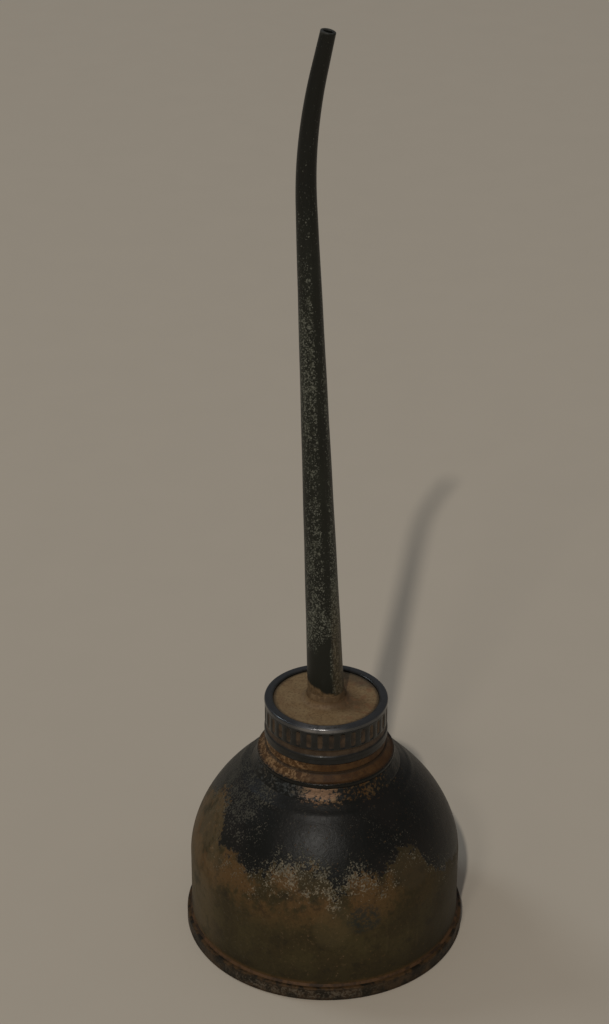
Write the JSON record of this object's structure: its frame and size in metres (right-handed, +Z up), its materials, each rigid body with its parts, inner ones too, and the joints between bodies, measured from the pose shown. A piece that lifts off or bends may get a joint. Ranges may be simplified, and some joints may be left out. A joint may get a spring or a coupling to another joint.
{
  "type": "push-bottom oil can",
  "caption": "Bell-shaped push-bottom oil can with a fluted screw cap and a long, tapered spout bent near its tip.",
  "frame": {"origin": "centre of the base, on the surface that the can stands on", "axes": "+Z up along the can's axis; the spout's tip leans towards +X; the pictured side faces -Y"},
  "size_m": [0.0476, 0.0476, 0.1548],
  "materials": {
    "body_paint": "worn black paint over rust-brown tinplate",
    "rim_steel": "rusty, dark brown",
    "solder": "dull, tarnished",
    "spring_steel": "brown-stained, dull",
    "rusty_neck": "orange-brown rust, matte",
    "cap_paint": "semi-gloss black, worn in the flutes",
    "plate_patina": "khaki oil-stained patina",
    "gasket_leather": "oil-soaked leather",
    "spout_paint": "worn greenish-black paint with bare specks"
  },
  "bodies": {
    "can": {"body_shell": "body_paint", "base_rim": "rim_steel", "seam_solder": "solder", "neck_collar": "rusty_neck", "neck_solder": "solder"},
    "bottom": {"bottom_diaphragm": "spring_steel"},
    "seal": {"cap_gasket": "gasket_leather"},
    "cap": {"cap_shell": "cap_paint", "cap_plate": "plate_patina", "spout_tube": "spout_paint", "spout_solder": "solder"}
  },
  "joints": [
    {"name": "bottom_press", "type": "slide", "parent": "can", "child": "bottom", "axis": [0, 0, 1], "range_m": [0, 0.0014], "stiffness_N_per_m": 4000},
    {"name": "cap_lift", "type": "slide", "parent": "can", "child": "seal", "axis": [0, 0, 1], "range_m": [0, 0.0036]},
    {"name": "cap_turn", "type": "hinge", "parent": "seal", "child": "cap", "pos_m": [0, 0, 0.04], "axis": [0, 0, 1], "range_deg": [0, 720]}
  ],
  "couplings": [
    {"joint": "cap_turn", "follows": "cap_lift", "rad_per_m": 3490.7}
  ]
}
